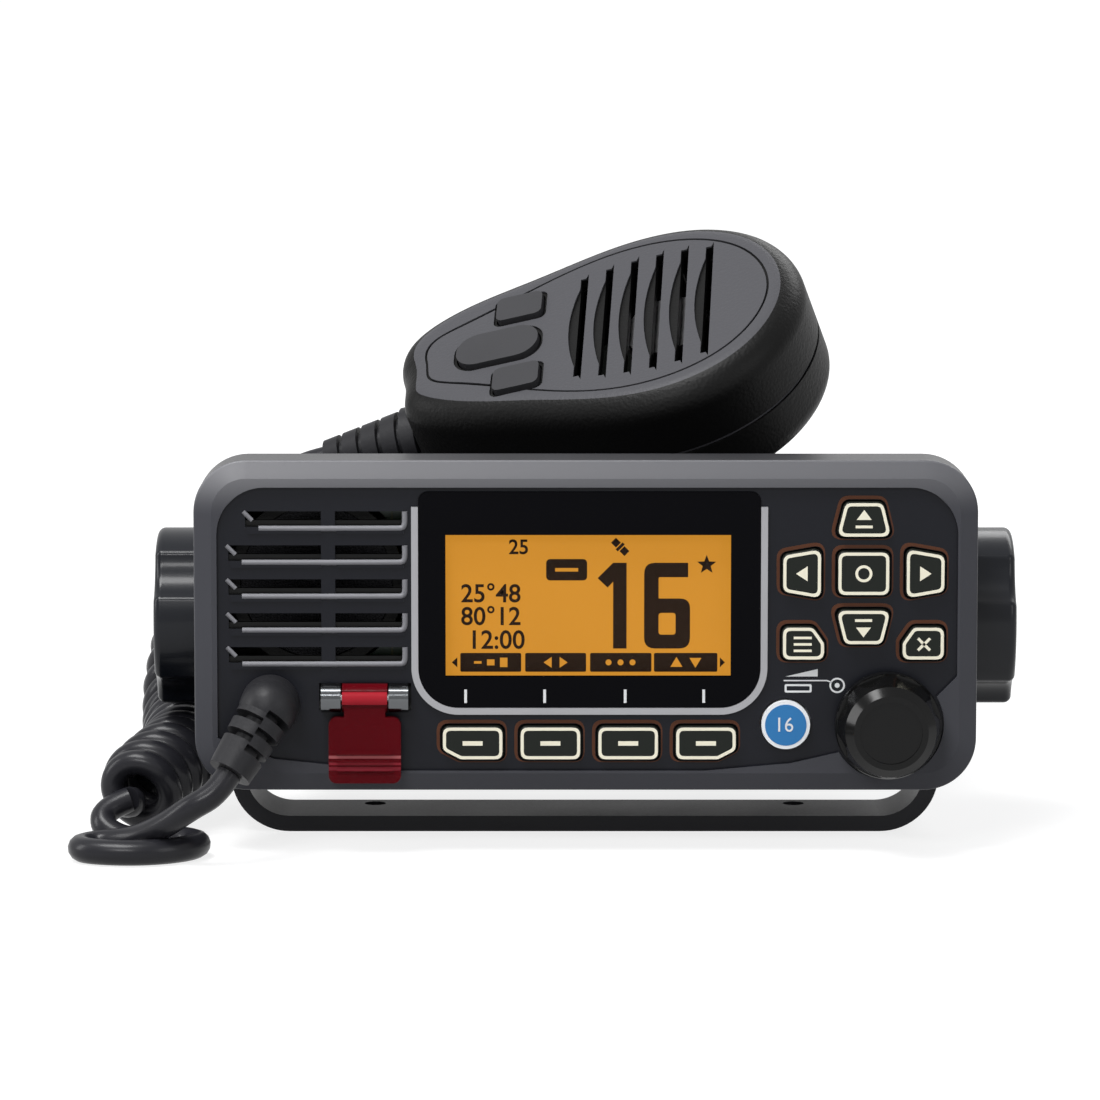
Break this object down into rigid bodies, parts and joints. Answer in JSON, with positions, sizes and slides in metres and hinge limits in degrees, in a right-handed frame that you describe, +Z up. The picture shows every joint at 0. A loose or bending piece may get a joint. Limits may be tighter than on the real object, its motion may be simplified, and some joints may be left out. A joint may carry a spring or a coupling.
{
  "type": "vhf marine radio",
  "caption": "Fixed-mount marine radio: sealed front panel with lit screen, keys, speaker and volume knob, finned chassis in a tilting yoke, and a fist microphone on a curly cord.",
  "frame": {"origin": "centre of the bracket's base underside", "axes": "+Z up, the front panel faces -Y, +X to the right of a person facing the panel"},
  "size_m": [0.1911, 0.127, 0.1207],
  "materials": {
    "bracket_plastic": "satin moulded",
    "washer_rubber": "matt",
    "panel_plastic": "satin with a lighter front border",
    "chassis_metal": "fine textured paint",
    "seal_rubber": "matt",
    "window_glass": "clear with a black printed border",
    "silver_trim": "satin silver",
    "lcd_amber": "lit amber segments panel",
    "diffuser_plastic": "milky",
    "steel": "plain",
    "speaker_fabric": "dark paper cone",
    "circuit_board": "green lacquer",
    "tinned_steel": "tinned",
    "boot_rubber": "satin",
    "socket_metal": "nickel",
    "key_plastic": "dark face inside a cream outline",
    "blue_key": "blue face inside a white ring",
    "knob_plastic": "glossy",
    "red_cover": "clear red",
    "cap_plastic": "glossy with bright highlights",
    "red_key": "satin red",
    "clamp_plastic": "satin",
    "mic_plastic": "fine leather grain",
    "ptt_rubber": "matt",
    "mic_key_rubber": "matt",
    "cord_rubber": "glossy jacket"
  },
  "bodies": {
    "bracket": {"mounting_bracket": "bracket_plastic", "bracket_washers": "washer_rubber", "cord_front_lead": "cord_rubber", "cord_coil": "cord_rubber", "cord_rear_lead": "cord_rubber"},
    "radio": {"front_panel": "panel_plastic", "rear_chassis": "chassis_metal", "panel_gasket": "seal_rubber", "display_window": "window_glass", "window_trim": "silver_trim", "lcd_module": "lcd_amber", "backlight_diffuser": "diffuser_plastic", "speaker_frame": "steel", "speaker_cone": "speaker_fabric", "key_mat": "seal_rubber", "key_switches": "steel", "front_board": "circuit_board", "main_board": "circuit_board", "rf_shield": "tinned_steel", "chassis_screws": "steel", "panel_boot": "boot_rubber", "antenna_socket": "socket_metal", "power_gland": "boot_rubber", "data_socket": "socket_metal", "volume_encoder": "steel", "cover_pin": "steel", "cover_caps": "cap_plastic"},
    "clamp_left": {"clamp_knob_left": "clamp_plastic", "clamp_stud_left": "steel"},
    "clamp_right": {"clamp_knob_right": "clamp_plastic", "clamp_stud_right": "steel"},
    "volume_push": {"volume_plunger": "steel"},
    "volume_turn": {"volume_knob": "knob_plastic", "volume_shaft": "steel"},
    "cover": {"distress_cover": "red_cover"},
    "distress_button": {"distress_key": "red_key"},
    "handset": {"mic_front_shell": "mic_plastic", "mic_rear_shell": "mic_plastic", "mic_seal": "seal_rubber", "mic_board": "circuit_board", "mic_element": "steel", "mic_screws": "steel", "mic_hanger_stud": "mic_plastic", "mic_boot": "boot_rubber"},
    "ptt": {"ptt_bar": "ptt_rubber"},
    "mic_upper": {"mic_upper_key": "mic_key_rubber"},
    "mic_lower": {"mic_lower_key": "mic_key_rubber"},
    "mic_rocker_body": {"mic_rocker": "mic_key_rubber"},
    "soft_key_1_body": {"soft_key_1": "key_plastic"},
    "soft_key_2_body": {"soft_key_2": "key_plastic"},
    "soft_key_3_body": {"soft_key_3": "key_plastic"},
    "soft_key_4_body": {"soft_key_4": "key_plastic"},
    "enter_key_body": {"enter_key": "key_plastic"},
    "channel_up_key_body": {"channel_up_key": "key_plastic"},
    "channel_down_key_body": {"channel_down_key": "key_plastic"},
    "left_key_body": {"left_key": "key_plastic"},
    "right_key_body": {"right_key": "key_plastic"},
    "menu_key_body": {"menu_key": "key_plastic"},
    "clear_key_body": {"clear_key": "key_plastic"},
    "call_key_body": {"call_key": "blue_key"}
  },
  "joints": [
    {"name": "tilt", "type": "hinge", "parent": "bracket", "child": "radio", "pos_m": [0, 0, 0.0435], "axis": [1, 0, 0], "range_deg": [-14, 14], "deforming": ["cord_front_lead", "cord_coil", "cord_rear_lead"]},
    {"name": "clamp_left_turn", "type": "hinge", "parent": "radio", "child": "clamp_left", "pos_m": [-0.08, 0, 0.0435], "axis": [-1, 0, 0], "continuous": true},
    {"name": "clamp_right_turn", "type": "hinge", "parent": "radio", "child": "clamp_right", "pos_m": [0.08, 0, 0.0435], "axis": [1, 0, 0], "continuous": true},
    {"name": "soft_key_1_press", "type": "slide", "parent": "radio", "child": "soft_key_1_body", "axis": [0, 1, 0], "range_m": [0, 0.0008], "stiffness_N_per_m": 800, "springref_m": -0.0004},
    {"name": "soft_key_2_press", "type": "slide", "parent": "radio", "child": "soft_key_2_body", "axis": [0, 1, 0], "range_m": [0, 0.0008], "stiffness_N_per_m": 800, "springref_m": -0.0004},
    {"name": "soft_key_3_press", "type": "slide", "parent": "radio", "child": "soft_key_3_body", "axis": [0, 1, 0], "range_m": [0, 0.0008], "stiffness_N_per_m": 800, "springref_m": -0.0004},
    {"name": "soft_key_4_press", "type": "slide", "parent": "radio", "child": "soft_key_4_body", "axis": [0, 1, 0], "range_m": [0, 0.0008], "stiffness_N_per_m": 800, "springref_m": -0.0004},
    {"name": "enter_key_press", "type": "slide", "parent": "radio", "child": "enter_key_body", "axis": [0, 1, 0], "range_m": [0, 0.0008], "stiffness_N_per_m": 800, "springref_m": -0.0004},
    {"name": "channel_up_key_press", "type": "slide", "parent": "radio", "child": "channel_up_key_body", "axis": [0, 1, 0], "range_m": [0, 0.0008], "stiffness_N_per_m": 800, "springref_m": -0.0004},
    {"name": "channel_down_key_press", "type": "slide", "parent": "radio", "child": "channel_down_key_body", "axis": [0, 1, 0], "range_m": [0, 0.0008], "stiffness_N_per_m": 800, "springref_m": -0.0004},
    {"name": "left_key_press", "type": "slide", "parent": "radio", "child": "left_key_body", "axis": [0, 1, 0], "range_m": [0, 0.0008], "stiffness_N_per_m": 800, "springref_m": -0.0004},
    {"name": "right_key_press", "type": "slide", "parent": "radio", "child": "right_key_body", "axis": [0, 1, 0], "range_m": [0, 0.0008], "stiffness_N_per_m": 800, "springref_m": -0.0004},
    {"name": "menu_key_press", "type": "slide", "parent": "radio", "child": "menu_key_body", "axis": [0, 1, 0], "range_m": [0, 0.0008], "stiffness_N_per_m": 800, "springref_m": -0.0004},
    {"name": "clear_key_press", "type": "slide", "parent": "radio", "child": "clear_key_body", "axis": [0, 1, 0], "range_m": [0, 0.0008], "stiffness_N_per_m": 800, "springref_m": -0.0004},
    {"name": "call_key_press", "type": "slide", "parent": "radio", "child": "call_key_body", "axis": [0, 1, 0], "range_m": [0, 0.0008], "stiffness_N_per_m": 800, "springref_m": -0.0004},
    {"name": "distress_key_press", "type": "slide", "parent": "radio", "child": "distress_button", "axis": [0, 1, 0], "range_m": [0, 0.0008], "stiffness_N_per_m": 800, "springref_m": -0.0004},
    {"name": "volume_press", "type": "slide", "parent": "radio", "child": "volume_push", "axis": [0, 1, 0], "range_m": [0, 0.0005], "stiffness_N_per_m": 3000, "springref_m": -0.0003},
    {"name": "volume_rotate", "type": "hinge", "parent": "volume_push", "child": "volume_turn", "pos_m": [0.0604, -0.044, 0.0265], "axis": [0, 1, 0], "continuous": true},
    {"name": "cover_flip", "type": "hinge", "parent": "radio", "child": "cover", "pos_m": [-0.0441, -0.0381, 0.0319], "axis": [-1, 0, 0], "range_deg": [0, 110]},
    {"name": "handset_lift", "type": "slide", "parent": "radio", "child": "handset", "axis": [0, 0, 1], "range_m": [0, 0.06], "deforming": ["cord_rear_lead"]},
    {"name": "ptt_press", "type": "slide", "parent": "handset", "child": "ptt", "axis": [-0.0547, -0.838, -0.5429], "range_m": [0, 0.0015], "stiffness_N_per_m": 600, "springref_m": -0.0005},
    {"name": "mic_upper_press", "type": "slide", "parent": "handset", "child": "mic_upper", "axis": [0.3073, 0.5032, -0.8077], "range_m": [0, 0.0008], "stiffness_N_per_m": 800, "springref_m": -0.0004},
    {"name": "mic_lower_press", "type": "slide", "parent": "handset", "child": "mic_lower", "axis": [0.3073, 0.5032, -0.8077], "range_m": [0, 0.0008], "stiffness_N_per_m": 800, "springref_m": -0.0004},
    {"name": "mic_rocker_tilt", "type": "hinge", "parent": "handset", "child": "mic_rocker_body", "pos_m": [-0.01705, 0.02444, 0.09431], "axis": [0.0547, 0.838, 0.5429], "range_deg": [-3.5, 3.5], "stiffness_Nm_per_rad": 0.05}
  ]
}
